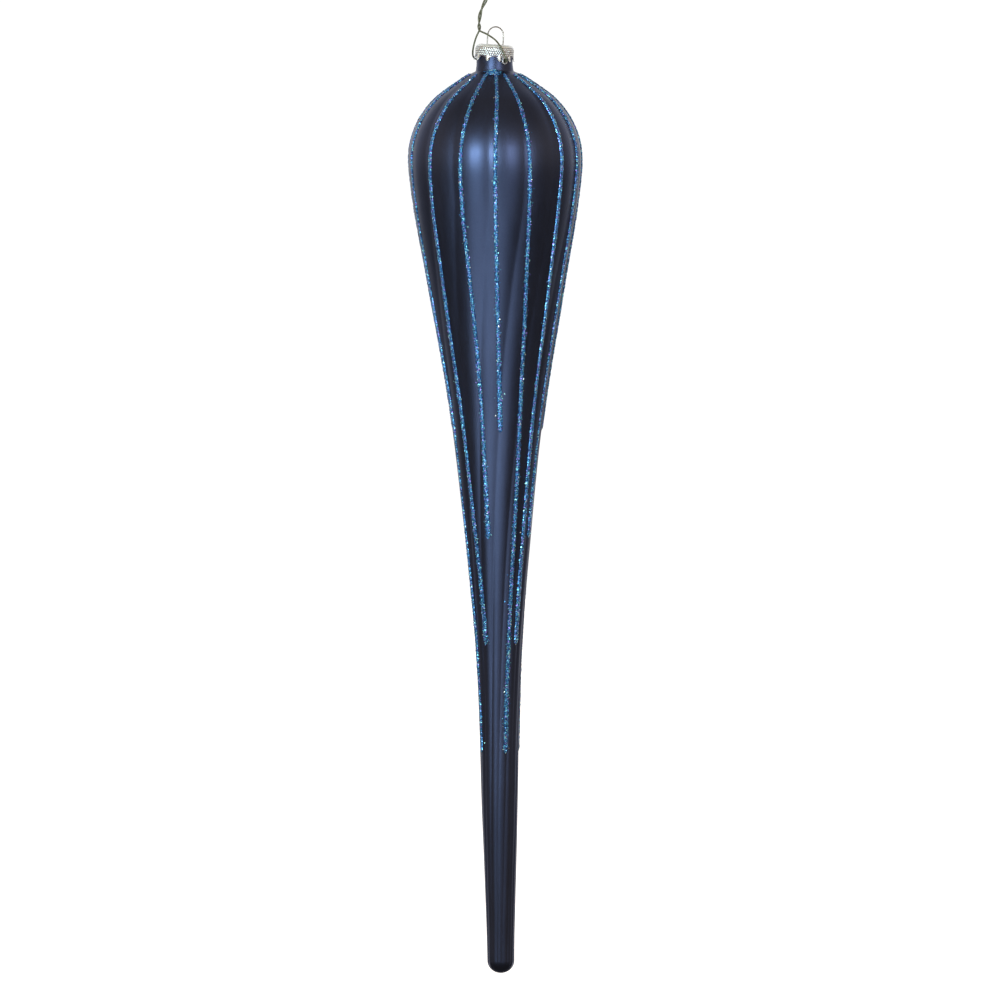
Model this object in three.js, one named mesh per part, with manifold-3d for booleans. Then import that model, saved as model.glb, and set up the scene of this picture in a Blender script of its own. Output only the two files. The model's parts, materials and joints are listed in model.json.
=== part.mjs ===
// An icicle hanging ornament: a thin fluted shell with a crown cap, a spring hanger, a tie wire and
// lines of glitter. Millimetres and degrees, +Z up, the front faces -Y. The origin is where a hook
// bears inside the eye at the top of the tie wire, straight above the shell's axis.
import * as THREE from 'three';
import { mergeVertices } from 'three/addons/utils/BufferGeometryUtils.js';
import Module from 'manifold-3d';

const wasm = await Module();
wasm.setup();

// ---- Heights on the shell's axis ----
const CAP_TOP_Z = -34.3;
const HOLE_Z = -41.3; // the two drilled holes that the tie wire runs through
const NECK_FOOT_Z = -45.7; // where the neck meets the shoulder
const NECK_RIM_Z = CAP_TOP_Z - 1.95;

// ---- Shell ----
// Depth below the neck's foot, and radius over the ridges of the flutes.
const SHOULDER_AND_ICICLE = [
  [0, 8.2], [0.85, 10.1], [3.4, 14.3], [11.8, 25.7], [20.2, 32.1], [28.7, 35.5], [37.1, 36.5],
  [54, 34.9], [88, 28.9], [138, 20.6], [189, 14.6], [240, 10.1], [273, 8.55], [307, 7.7],
  [341, 6.65], [366, 5.95], [375.6, 5.8],
];
const TIP_LENGTH = 5.4;
const NECK_R = 7.6;
const NECK_FOOT_R = 7.8; // the neck widens a little below the cap
const WALL = 0.8;
const FLUTES = 16;
// Depth of the creases as a share of the radius: shallow round the body, deeper down the icicle.
const FLUTE_DEPTH_BODY = 0.0165;
const FLUTE_DEPTH_ICICLE = 0.03;
const DEEPENING = [100, 250]; // depths between which it changes
const FLUTE_FADE = 12; // the flutes rise out of the shoulder over this depth
const TIP_FADE = 6;
// The flutes are a little wider left of the front: a point at even angle t lies at the azimuth
// t + FLUTE_WARP sin(t - WARP_FROM). Azimuths are from the front, positive to the right.
const FLUTE_WARP = 6;
const WARP_FROM = -30;
const FIRST_CREASE = -6.6; // even angle of one crease
const TWIST_START = 54; // depth from which the flutes turn slowly, down to the tip
const TWIST_PER_MM = -0.19;
const SIDES_PER_FLUTE = 4;

// ---- Cap ----
const CAP_R = 8.2;
const CAP_WALL = 0.22;
const CAP_FLAT_R = 5.9;
const CAP_TILT = 4; // the cap sits a little askew, lower on the right
const CAP_SHIFT = 0.25;
const PETALS = 10;
const PETAL_TIP = -7;
const PETAL_FLARE = 0.55;
const ARCH_R = 2.3;
const ARCH_AZIMUTH = -38;
const TAB_R = 1.45; // the tab of skirt that each drilled hole is in
const HOLE_AZIMUTH = 34;
const HOLE_R = 0.8;

// ---- Spring hanger ----
const HANGER_WIRE = 0.55;
const LOOP_R = 3.65;
const LOOP_HEIGHT = 7.6;
const LOOP_YAW = -25;
const LEG_DEPTH = 12;
const LEG_SPLAY = 5.2;

// ---- Tie wire ----
const TIE_WIRE = 0.75;
const EYE_R = 3.5;
const STRAND_OFFSET = 0.42; // each strand's distance from the middle of the twist
const WRAP_R = 1.3;

// ---- Glitter ----
const LINE_WIRE = 1; // diameter of the plain bead that stands for a glitter line
const LINE_GAP = 0.3;
const LINE_STEP = 9;
const LINE_START = 1.1;
// Depths at which the lines end, in turn round the shell.
const LINE_ENDS = [287, 241, 196, 151];
// Each line's azimuth at its start, where the body is widest, half-way and at its end: they are
// laid by hand.
const LINE_COURSES = [
  [-73, -76, -73, -66], [-45, -50, -49, -33], [-20, -24, -20, -17], [3, 0, 1, 4],
  [22, 25, 30, 19], [50, 50, 51, 46], [70, 71, 70, 68], [93, 92, 90, 89],
  [113, 114, 110, 104], [137, 136, 131, 125], [156, 157, 154, 150], [180, 179, 177, 175],
  [199, 200, 196, 188], [223, 222, 218, 209], [242, 243, 240, 235], [265, 264, 262, 260],
];
const DAB_AZIMUTHS = [-22, -5, 12]; // a curved dab between two lines at the neck's foot
const DAB_DEPTHS = [0.35, 0.1, 0.35];

const rad = THREE.MathUtils.degToRad;

// ---- Helpers ----

function material(color, roughness, metalness) {
  return new THREE.MeshStandardMaterial({ color, roughness, metalness });
}

// A closed geometry as a solid that can be joined and cut.
function solidOf(source) {
  const geometry = source.clone();
  geometry.deleteAttribute('normal');
  geometry.deleteAttribute('uv');
  const merged = mergeVertices(geometry, 1e-4);
  const corners = merged.index.array;
  const kept = [];
  for (let i = 0; i < corners.length; i += 3) {
    const [a, b, c] = corners.slice(i, i + 3);
    if (a !== b && b !== c && c !== a) {
      kept.push(a, b, c);
    }
  }
  const vertProperties = new Float32Array(merged.attributes.position.array);
  return new wasm.Manifold(new wasm.Mesh({ numProp: 3, vertProperties, triVerts: new Uint32Array(kept) }));
}

function geometryOf(solid) {
  const mesh = solid.getMesh();
  const geometry = new THREE.BufferGeometry();
  geometry.setAttribute('position', new THREE.BufferAttribute(mesh.vertProperties, 3));
  geometry.setIndex(new THREE.BufferAttribute(mesh.triVerts, 1));
  geometry.computeVertexNormals();
  return geometry;
}

// A body of revolution about +Z from [radius, height] points that run from the bottom to the top.
function lathe(points, segments) {
  const profile = points.map(([r, z]) => new THREE.Vector2(r, z));
  return new THREE.LatheGeometry(profile, segments).rotateX(Math.PI / 2);
}

// A round rod along a curve.
function rod(curve, diameter, sides, steps) {
  const section = new THREE.Shape();
  for (let i = 0; i < sides; i += 1) {
    const turn = (2 * Math.PI * i) / sides;
    const x = Math.cos(turn) * diameter / 2;
    const y = Math.sin(turn) * diameter / 2;
    if (i === 0) {
      section.moveTo(x, y);
    } else {
      section.lineTo(x, y);
    }
  }
  section.closePath();
  return new THREE.ExtrudeGeometry(section, { steps, extrudePath: curve, curveSegments: 1 });
}

function smooth(points) {
  return new THREE.CatmullRomCurve3(points, false, 'centripetal');
}

// A cylinder that lies along a radius, at an azimuth and a height.
function radialCylinder(radius, azimuth, z, length = 30) {
  const cylinder = new THREE.CylinderGeometry(radius, radius, length, 24);
  return cylinder.translate(0, -length / 2, 0).rotateZ(rad(azimuth)).translate(0, 0, z);
}

function aroundAxis(azimuth, radius, z) {
  const turn = rad(azimuth);
  return new THREE.Vector3(radius * Math.sin(turn), -radius * Math.cos(turn), z);
}

// ---- Shell ----

const outline = smooth(SHOULDER_AND_ICICLE.map(([d, r]) => new THREE.Vector3(r, 0, d)));
const finePoints = outline.getPoints(600);
const tipStart = SHOULDER_AND_ICICLE.at(-1);

function ridgeRadius(depth) {
  const next = Math.max(1, finePoints.findIndex((p) => p.z >= depth));
  const [a, b] = [finePoints[next - 1], finePoints[next]];
  return THREE.MathUtils.mapLinear(depth, a.z, b.z, a.x, b.x);
}

function fluteDepth(depth) {
  const rise = THREE.MathUtils.smoothstep(depth, 0, FLUTE_FADE);
  const fall = THREE.MathUtils.smoothstep(tipStart[0] + TIP_LENGTH - depth, 0, TIP_FADE);
  const down = THREE.MathUtils.smoothstep(depth, ...DEEPENING);
  return THREE.MathUtils.lerp(FLUTE_DEPTH_BODY, FLUTE_DEPTH_ICICLE, down) * rise * fall;
}

function twist(depth) {
  return TWIST_PER_MM * Math.max(0, depth - TWIST_START);
}

function azimuthOf(evenAngle, depth) {
  return evenAngle + FLUTE_WARP * Math.sin(rad(evenAngle - WARP_FROM)) + twist(depth);
}

function evenAngleOf(azimuth, depth) {
  let angle = azimuth - twist(depth);
  for (let round = 0; round < 6; round += 1) {
    angle += azimuth - azimuthOf(angle, depth);
  }
  return angle;
}

// The share of the ridge radius that is left at an even angle: each flute is a shallow convex lobe.
function fluteShape(evenAngle, depth) {
  const pitch = 360 / FLUTES;
  const along = THREE.MathUtils.euclideanModulo(evenAngle - FIRST_CREASE, pitch) / pitch;
  return 1 - fluteDepth(depth) * (2 * along - 1) ** 2;
}

function outerShell() {
  const rows = outline.getPoints(2 * (SHOULDER_AND_ICICLE.length - 1)).map((p) => [p.x, -p.z]);
  for (const turn of [25, 48, 70, 90]) {
    const depth = tipStart[0] + TIP_LENGTH * Math.sin(rad(turn));
    rows.push([turn === 90 ? 0 : tipStart[1] * Math.cos(rad(turn)), -depth]);
  }
  const rim = NECK_RIM_Z - NECK_FOOT_Z;
  rows.unshift([0, rim], [NECK_R, rim], [NECK_R, 2.4], [NECK_FOOT_R, 1.4]);
  const geometry = lathe(rows.reverse(), FLUTES * SIDES_PER_FLUTE);
  const position = geometry.attributes.position;
  const point = new THREE.Vector3();
  for (let i = 0; i < position.count; i += 1) {
    point.fromBufferAttribute(position, i);
    const depth = Math.max(0, -point.z);
    const radius = Math.hypot(point.x, point.y);
    if (radius > 1e-6) {
      const evenAngle = THREE.MathUtils.radToDeg(Math.atan2(point.x, -point.y)) + FIRST_CREASE;
      const share = fluteShape(evenAngle, depth);
      const around = aroundAxis(azimuthOf(evenAngle, depth), radius * share, point.z);
      position.setXYZ(i, around.x, around.y, around.z);
    }
  }
  return geometry;
}

function innerShell() {
  const inner = (depth) => ridgeRadius(depth) * (1 - FLUTE_DEPTH_ICICLE) - WALL;
  const depths = [2.6, 6, 12, 20, 29, 38, 54, 88, 138, 189, 240, 290, 341, 372];
  const rows = [[NECK_R - WALL, 15], [NECK_R - WALL, 0.2], ...depths.map((d) => [inner(d), -d - 0.6])];
  return lathe([[0, -377], ...rows.reverse(), [0, 15]], 24);
}

const drill = radialCylinder(HOLE_R, HOLE_AZIMUTH, 0, 30).translate(0, 0, HOLE_Z);
const drillBack = radialCylinder(HOLE_R, HOLE_AZIMUTH + 180, 0, 30).translate(0, 0, HOLE_Z);

function ornamentShell() {
  const toFoot = (geometry) => geometry.translate(0, 0, NECK_FOOT_Z);
  const solid = solidOf(toFoot(outerShell()))
    .subtract(solidOf(toFoot(innerShell())))
    .subtract(solidOf(drill))
    .subtract(solidOf(drillBack));
  const mesh = new THREE.Mesh(geometryOf(solid), material(0x1d2450, 0.42, 0.5));
  mesh.name = 'ornament_shell';
  return mesh;
}

// ---- Cap, in its own frame: the middle of its top face is at 0 ----

function capOutline() {
  const shoulder = CAP_R - CAP_FLAT_R;
  const arc = (r, inset) => [90, 60, 30, 0].map((turn) => [
    CAP_FLAT_R + r * Math.cos(rad(turn)),
    -inset - r + r * Math.sin(rad(turn)),
  ]);
  const outer = [
    [0, 0], ...arc(shoulder, 0), [CAP_R, PETAL_TIP + 1.9],
    [CAP_R + 0.2, PETAL_TIP + 0.8], [CAP_R + PETAL_FLARE, PETAL_TIP],
  ];
  const inner = [
    [0, -CAP_WALL], ...arc(shoulder - CAP_WALL, CAP_WALL), [CAP_R - CAP_WALL, PETAL_TIP + 1.9],
    [CAP_R - CAP_WALL + 0.2, PETAL_TIP + 0.8], [CAP_R - CAP_WALL + PETAL_FLARE, PETAL_TIP],
  ];
  return [...inner, ...outer.reverse()];
}

function cap(inWorld) {
  let crown = solidOf(lathe(capOutline(), 50));
  for (let i = 0; i < PETALS; i += 1) {
    const azimuth = ARCH_AZIMUTH + (360 / PETALS) * i;
    crown = crown.subtract(solidOf(radialCylinder(ARCH_R, azimuth, PETAL_TIP - 0.5)));
  }
  const toCap = inWorld.clone().invert();
  const [low, high] = [CAP_R - CAP_WALL, CAP_R];
  const band = solidOf(lathe([[low, -9.2], [high, -9.2], [high, -5], [low, -5], [low, -9.2]], 50));
  for (const azimuth of [HOLE_AZIMUTH, HOLE_AZIMUTH + 180]) {
    const hole = aroundAxis(azimuth, CAP_R, HOLE_Z).applyMatrix4(toCap);
    const stem = new THREE.BoxGeometry(1.8, 10, 3.2).translate(0, -5, 0);
    const tab = solidOf(radialCylinder(TAB_R, azimuth, hole.z))
      .add(solidOf(stem.rotateZ(rad(azimuth)).translate(0, 0, PETAL_TIP + 1.4)));
    crown = crown.add(band.intersect(tab));
  }
  crown = crown.subtract(solidOf(drill.clone().applyMatrix4(toCap)));
  crown = crown.subtract(solidOf(drillBack.clone().applyMatrix4(toCap)));
  for (const side of [-1, 1]) {
    const slot = new THREE.BoxGeometry(2.1, 1.05, 2).translate(side * LOOP_R, 0, 0);
    crown = crown.subtract(solidOf(slot.rotateZ(rad(LOOP_YAW))));
  }
  const mesh = new THREE.Mesh(geometryOf(crown), material(0xd8dade, 0.25, 1));
  mesh.name = 'cap';
  return mesh;
}

// ---- Spring hanger, in the cap's frame ----

function hangerLoop() {
  const arcZ = LOOP_HEIGHT - HANGER_WIRE / 2 - LOOP_R;
  const half = [];
  for (const turn of [90, 67, 45, 22, 0]) {
    half.push([LOOP_R * Math.cos(rad(turn)), arcZ + LOOP_R * Math.sin(rad(turn))]);
  }
  half.push([LOOP_R, 1.8], [LOOP_R, 0], [LOOP_R, -0.6], [LOOP_R + 0.45, -3.5], [LEG_SPLAY - 0.3, -8.5]);
  half.push([LEG_SPLAY, -LEG_DEPTH]);
  const left = half.slice(1).reverse().map(([x, z]) => new THREE.Vector3(-x, 0, z));
  const right = half.map(([x, z]) => new THREE.Vector3(x, 0, z));
  const mesh = new THREE.Mesh(
    rod(smooth([...left, ...right]), HANGER_WIRE, 6, 48),
    material(0xc9ccd1, 0.2, 1),
  );
  mesh.name = 'hanger_loop';
  mesh.rotation.z = rad(LOOP_YAW);
  return mesh;
}

// ---- Tie wire: one length through both holes, twisted above the cap and bent into an eye ----

// The middle of the twist, from the eye down.
const twistMiddle = smooth([
  new THREE.Vector3(0, 0, -8.6),
  new THREE.Vector3(-3.3, -0.6, -15.3),
  new THREE.Vector3(-5.3, -1.1, -19.6),
  new THREE.Vector3(-6.3, -1.5, -24),
  new THREE.Vector3(-6.3, -1.6, -28.4),
]);
// Heights at which one strand passes in front of the other, from the bottom up.
const CROSSINGS = [-28.4, -25.4, -19.4, -13.4, -7.4];

function halfTurns(z) {
  const next = Math.max(1, CROSSINGS.findIndex((crossing) => crossing >= z));
  return THREE.MathUtils.mapLinear(z, CROSSINGS[next - 1], CROSSINGS[next], next - 1, next);
}

// A point of the twist: side 1 is the strand to the left hole, side -1 the one to the front hole.
function strandPoint(share, side) {
  const middle = twistMiddle.getPointAt(share);
  const along = twistMiddle.getTangentAt(share);
  const back = new THREE.Vector3(0, 1, 0).addScaledVector(along, -along.y).normalize();
  const across = new THREE.Vector3().crossVectors(along, back);
  const turn = Math.PI * halfTurns(middle.z);
  return middle
    .addScaledVector(back, side * STRAND_OFFSET * Math.cos(turn))
    .addScaledVector(across, side * STRAND_OFFSET * Math.sin(turn));
}

function floralWire() {
  const points = [];
  const steps = 24;
  for (let i = 1; i <= steps; i += 1) {
    points.push(strandPoint(i / steps, -1));
  }
  // Down in front of the cap, and in at the front hole.
  points.push(
    new THREE.Vector3(-3, -4.2, -30.1),
    new THREE.Vector3(0.4, -6.6, -32.5),
    new THREE.Vector3(2.3, -8.4, -34.9),
    new THREE.Vector3(3.5, -8.8, -37.2),
    new THREE.Vector3(4.3, -8.7, -39.1),
    new THREE.Vector3(4.95, -8.5, -40.4),
  );
  for (const radius of [9.3, 8, 4, 0, -4, -8, -9.3]) {
    points.push(aroundAxis(HOLE_AZIMUTH, radius, HOLE_Z));
  }
  // Round behind the cap, and up its left side.
  points.push(
    new THREE.Vector3(-6.4, 8.2, -41),
    new THREE.Vector3(-8, 6.9, -40.4),
    new THREE.Vector3(-9, 4.6, -39.3),
    new THREE.Vector3(-9.15, 2.2, -37.6),
    new THREE.Vector3(-8.8, 0.6, -35.2),
    new THREE.Vector3(-7.7, -0.7, -31.4),
  );
  for (let i = steps; i >= 0; i -= 1) {
    points.push(strandPoint(i / steps, 1));
  }
  // Round the eye, and a last turn about the twist.
  for (let turn = -60; turn <= 240; turn += 30) {
    const x = (EYE_R + TIE_WIRE / 2) * Math.cos(rad(turn));
    const z = -EYE_R + (EYE_R + TIE_WIRE / 2) * Math.sin(rad(turn));
    points.push(new THREE.Vector3(x, 0, z));
  }
  for (let i = 0; i <= 8; i += 1) {
    const turn = rad(-130 + 50 * i);
    const middle = twistMiddle.getPointAt(0.02 + 0.012 * i);
    points.push(middle.add(new THREE.Vector3(WRAP_R * Math.cos(turn), WRAP_R * Math.sin(turn), 0)));
  }
  const mesh = new THREE.Mesh(rod(smooth(points), TIE_WIRE, 6, 150), material(0x5f6650, 0.55, 0.4));
  mesh.name = 'floral_wire';
  return mesh;
}

// ---- Glitter ----

// A point above the shell's surface, so far out along the surface's normal.
function overShell(azimuth, depth, height) {
  const step = 0.5;
  const slope = (ridgeRadius(depth + step) - ridgeRadius(Math.max(0, depth - step))) / (2 * step);
  const tilt = Math.atan(slope);
  const surface = ridgeRadius(depth) * fluteShape(evenAngleOf(azimuth, depth), depth);
  const z = NECK_FOOT_Z - depth + height * Math.sin(tilt);
  return aroundAxis(azimuth, surface + height * Math.cos(tilt), z);
}

function glitterBead(curve, name) {
  const steps = Math.max(6, Math.ceil(curve.getLength() / LINE_STEP));
  const mesh = new THREE.Mesh(rod(curve, LINE_WIRE, 5, steps), material(0x2f7fb8, 0.3, 0.6));
  mesh.name = name;
  return mesh;
}

function glitterLine(number) {
  const [start, wide, middle, bottom] = LINE_COURSES[number];
  const end = LINE_ENDS[number % LINE_ENDS.length];
  const course = new THREE.SplineCurve([
    new THREE.Vector2(LINE_START, start),
    new THREE.Vector2(end * 0.25, wide),
    new THREE.Vector2(end * 0.62, middle),
    new THREE.Vector2(end, bottom),
  ]);
  const points = course.getPoints(36).map((p) => overShell(p.y, p.x, LINE_GAP + LINE_WIRE / 2));
  return glitterBead(smooth(points), `glitter_line_${String(number + 1).padStart(2, '0')}`);
}

function glitterDab() {
  const points = DAB_AZIMUTHS.map((azimuth, i) => overShell(azimuth, DAB_DEPTHS[i], 0.6 + LINE_WIRE / 2));
  return glitterBead(smooth(points), 'glitter_dab');
}

// ---- Assembly ----

const capGroup = new THREE.Group();
capGroup.position.set(CAP_SHIFT, 0, CAP_TOP_Z);
capGroup.rotation.y = rad(CAP_TILT);
capGroup.updateMatrixWorld();
capGroup.add(cap(capGroup.matrixWorld), hangerLoop());

const group = new THREE.Group();
group.add(ornamentShell(), capGroup, floralWire(), glitterDab());
for (let i = 0; i < LINE_COURSES.length; i += 1) {
  group.add(glitterLine(i));
}

export default group;
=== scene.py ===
import json
import math

import bpy
import numpy as np
from mathutils import Matrix, Vector


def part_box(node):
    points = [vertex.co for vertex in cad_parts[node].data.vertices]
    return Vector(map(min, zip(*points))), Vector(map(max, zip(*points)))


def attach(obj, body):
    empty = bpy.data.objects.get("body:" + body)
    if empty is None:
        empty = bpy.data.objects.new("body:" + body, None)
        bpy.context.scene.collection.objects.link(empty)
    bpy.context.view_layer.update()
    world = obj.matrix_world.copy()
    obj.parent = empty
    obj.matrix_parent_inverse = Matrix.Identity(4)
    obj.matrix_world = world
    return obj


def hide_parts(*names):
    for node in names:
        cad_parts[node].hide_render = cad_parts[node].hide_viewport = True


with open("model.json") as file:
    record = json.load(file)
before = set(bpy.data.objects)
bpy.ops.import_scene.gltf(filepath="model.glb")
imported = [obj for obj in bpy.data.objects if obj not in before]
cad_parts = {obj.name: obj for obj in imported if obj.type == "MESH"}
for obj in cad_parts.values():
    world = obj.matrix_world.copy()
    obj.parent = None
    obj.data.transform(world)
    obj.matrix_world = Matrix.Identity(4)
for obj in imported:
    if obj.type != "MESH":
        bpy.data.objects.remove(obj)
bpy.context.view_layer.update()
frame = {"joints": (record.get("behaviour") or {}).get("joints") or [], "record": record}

# The looks of an icicle hanging ornament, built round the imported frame. Lengths are in millimetres
# until a mesh is made. Azimuths are in degrees from the front, -Y, positive to the right.
MM = 0.001

# ---- Places taken from the frame ----
shell_low, shell_high = (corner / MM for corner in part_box("ornament_shell"))
cap_mount = next(m for m in frame["record"]["mounts"] if m["name"] == "cap_top")
swing = next(j for j in frame["joints"] if j["name"] == "neck_swing")
NECK_RISE = 9.45  # from the neck's foot to its rim
NECK_FOOT_Z = shell_high.z - NECK_RISE
TIP_DEPTH = NECK_FOOT_Z - shell_low.z
HOLE_Z = round(swing["pos_m"][2] / MM, 3)  # the hinge runs through the drilled holes
CAP_CENTRE = Vector(cap_mount["pos_m"]) / MM
CAP_AXIS = Vector(cap_mount["axis"])

# ---- Shell, as the CAD has it ----
SHOULDER_AND_ICICLE = [  # depth below the neck's foot, and radius there at the flutes' ridges
    [0, 8.2], [0.85, 10.1], [3.4, 14.3], [11.8, 25.7], [20.2, 32.1], [28.7, 35.5], [37.1, 36.5],
    [54, 34.9], [88, 28.9], [138, 20.6], [189, 14.6], [240, 10.1], [273, 8.55], [307, 7.7],
    [341, 6.65], [366, 5.95], [375.6, 5.8],
]
NECK_R = 7.6
WALL = 0.8
NECK_SECTION = [  # radius, and height above the foot: up the outside, over the rim and down the inside
    (8.2, 0.0), (8.0, 0.25), (7.88, 0.7), (7.8, 1.4), (7.66, 2.4), (NECK_R, 3.2), (NECK_R, 4.4),
    (NECK_R, 6), (NECK_R, 9.15), (7.5, 9.36), (7.2, NECK_RISE), (6.9, 9.36), (NECK_R - WALL, 9.15),
    (NECK_R - WALL, 6), (NECK_R - WALL, 3), (NECK_R - WALL, 0.2),
]
INSIDE_DEPTHS = [
    1.5, 4, 8, 13, 20, 29, 38, 54, 70, 88, 112, 138, 165, 189, 215, 240, 273, 307, 341, 366, 373,
]
INSIDE_TIP = 377
INSIDE_DROP = 0.6  # the inside stands this much lower than the outside it follows
SHOULDER_EXTRA = 0.9  # the wall is this much thicker close to the neck
SHOULDER_EXTRA_TO = 10
FLUTES = 16
PITCH = 360 / FLUTES
FLUTE_DEPTH_BODY = 0.0165
FLUTE_DEPTH_ICICLE = 0.03
DEEPENING = (100, 250)
FLUTE_FADE = 12
TIP_FADE = 6
FLUTE_WARP = 6  # the flutes are a little wider on one side of the shell
WARP_FROM = -30
FIRST_CREASE = -6.6
TWIST_START = 54
TWIST_PER_MM = -0.19
CREASE_ROUND = 0.13  # share of half a flute over which the crease is rounded
HOLE_AZIMUTH = 34
HOLE_R = 0.8


# ---- Curves ----

def centripetal(points, count):
    """count points on the centripetal Catmull-Rom curve through points, evenly in its parameter."""
    p = np.array(points, float)
    held = np.vstack([2 * p[0] - p[1], p, 2 * p[-1] - p[-2]])
    out = []
    for share in np.linspace(0, 1, count):
        at = share * (len(p) - 1)
        i = min(int(at), len(p) - 2)
        t = at - i
        a, b, c, d = held[i:i + 4]
        g0, g1, g2 = (np.linalg.norm(v) ** 0.5 for v in (b - a, c - b, d - c))
        m1 = ((b - a) / g0 - (c - a) / (g0 + g1) + (c - b) / g1) * g1
        m2 = ((c - b) / g1 - (d - b) / (g1 + g2) + (d - c) / g2) * g1
        out.append(b + m1 * t + (3 * (c - b) - 2 * m1 - m2) * t**2 + (2 * (b - c) + m1 + m2) * t**3)
    return np.array(out)


def uniform_spline(points, count):
    """count points on the uniform Catmull-Rom curve through points."""
    p = np.array(points, float)
    held = np.vstack([p[0], p, p[-1]])
    out = []
    for share in np.linspace(0, 1, count):
        at = share * (len(p) - 1)
        i = min(int(at), len(p) - 2)
        t = at - i
        a, b, c, d = held[i:i + 4]
        v0, v1 = (c - a) / 2, (d - b) / 2
        out.append(b + v0 * t + (3 * (c - b) - 2 * v0 - v1) * t**2 + (2 * (b - c) + v0 + v1) * t**3)
    return np.array(out)


def lengths_along(points):
    steps = np.linalg.norm(np.diff(points, axis=0), axis=1)
    return np.concatenate([[0], np.cumsum(steps)])


def resample(points, step):
    """points again, evenly spaced by length, about step apart."""
    along = lengths_along(points)
    wanted = np.linspace(0, along[-1], max(2, int(round(along[-1] / step)) + 1))
    return np.stack([np.interp(wanted, along, points[:, k]) for k in range(points.shape[1])], axis=1)


def smoothstep(value, low, high):
    t = np.clip((value - low) / (high - low), 0, 1)
    return t * t * (3 - 2 * t)


# ---- The shell's surface ----

outline = centripetal([[r, d] for d, r in SHOULDER_AND_ICICLE], 900)
BODY_END, BODY_END_R = SHOULDER_AND_ICICLE[-1]
TIP_LENGTH = TIP_DEPTH - BODY_END


def ridge_radius(depth):
    body = np.interp(depth, outline[:, 1], outline[:, 0])
    into_tip = np.clip((depth - BODY_END) / TIP_LENGTH, 0, 1)
    return np.where(depth > BODY_END, BODY_END_R * np.sqrt(1 - into_tip**2), body)


def twist(depth):
    return TWIST_PER_MM * np.maximum(0, depth - TWIST_START)


def azimuth_of(even_angle, depth):
    """The azimuth of an even angle, of which every flute takes the same share."""
    return even_angle + FLUTE_WARP * np.sin(np.radians(even_angle - WARP_FROM)) + twist(depth)


def even_angle_of(azimuth, depth):
    angle = azimuth - twist(depth)
    for _ in range(6):
        angle = angle + azimuth - azimuth_of(angle, depth)
    return angle


def flute_place(even_angle):
    """From 0 on a flute's ridge to 1 in the crease."""
    along = np.mod(even_angle - FIRST_CREASE, PITCH) / PITCH
    return np.abs(2 * along - 1)


def flute_share(even_angle, depth):
    """The share of the ridge radius that is left at an even angle."""
    place = flute_place(even_angle)
    knee = 1 - CREASE_ROUND
    past = np.maximum(0, place - knee)
    rounded = knee**2 + 2 * knee * past - knee / CREASE_ROUND * past**2
    dip = np.where(place < knee, place**2, rounded)
    fade = smoothstep(depth, 0, FLUTE_FADE) * smoothstep(TIP_DEPTH - depth, 0, TIP_FADE)
    deep = FLUTE_DEPTH_BODY + (FLUTE_DEPTH_ICICLE - FLUTE_DEPTH_BODY) * smoothstep(depth, *DEEPENING)
    return 1 - deep * fade * dip


def waviness(azimuth, depth):
    """The slight unevenness of a blown wall."""
    a = np.radians(azimuth)
    wave = np.sin(2 * a + depth / 19 + 0.4) + 0.7 * np.sin(3 * a - depth / 11 + 2.1)
    wave += 0.5 * np.sin(5 * a + depth / 7.3 + 4.0) + 0.5 * np.sin(a - depth / 5.1 + 1.3)
    return 0.022 * wave * smoothstep(depth, 2, 20) * smoothstep(TIP_DEPTH - depth, 0, 20)


def around(azimuth, radius, z):
    """Points at an azimuth, a radius and a height."""
    turn = np.radians(azimuth)
    return np.stack(np.broadcast_arrays(radius * np.sin(turn), -radius * np.cos(turn), z), axis=-1)


def at_even_angle(even_angle, depth):
    azimuth = azimuth_of(even_angle, depth)
    radius = ridge_radius(depth) * flute_share(even_angle, depth) + waviness(azimuth, depth)
    return around(azimuth, radius, NECK_FOOT_Z - depth)


def on_shell(azimuth, depth):
    return at_even_angle(even_angle_of(azimuth, depth), depth)


def shell_normal(azimuth, depth):
    turn, drop = 0.3, 0.25
    across = on_shell(azimuth + turn, depth) - on_shell(azimuth - turn, depth)
    down = on_shell(azimuth, depth + drop) - on_shell(azimuth, np.maximum(0, depth - drop))
    normal = np.cross(down, across)
    return normal / np.linalg.norm(normal, axis=-1, keepdims=True)


# ---- Making meshes ----

def ring_faces(rows, columns, first=0):
    """The quads between closed rings of points, one ring after another."""
    faces = []
    for r in range(rows - 1):
        for c in range(columns):
            n = (c + 1) % columns
            low, high = first + r * columns, first + (r + 1) * columns
            faces.append((low + c, low + n, high + n, high + c))
    return faces


def piece(name, verts, faces, material, body, nodes, smooth=True):
    """A visible piece that rides on a body and stands in for the CAD nodes."""
    mesh = bpy.data.meshes.new(name)
    mesh.from_pydata((np.asarray(verts, float) * MM).tolist(), [], faces)
    mesh.polygons.foreach_set("use_smooth", [smooth] * len(mesh.polygons))
    mesh.materials.append(material)
    mesh.update()
    obj = bpy.data.objects.new(name, mesh)
    bpy.context.scene.collection.objects.link(obj)
    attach(obj, body)
    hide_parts(*nodes)
    return obj


def give_values(obj, name, values, domain):
    attribute = obj.data.attributes.new(name, "FLOAT", domain)
    attribute.data.foreach_set("value", np.asarray(values, np.float32))


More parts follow.
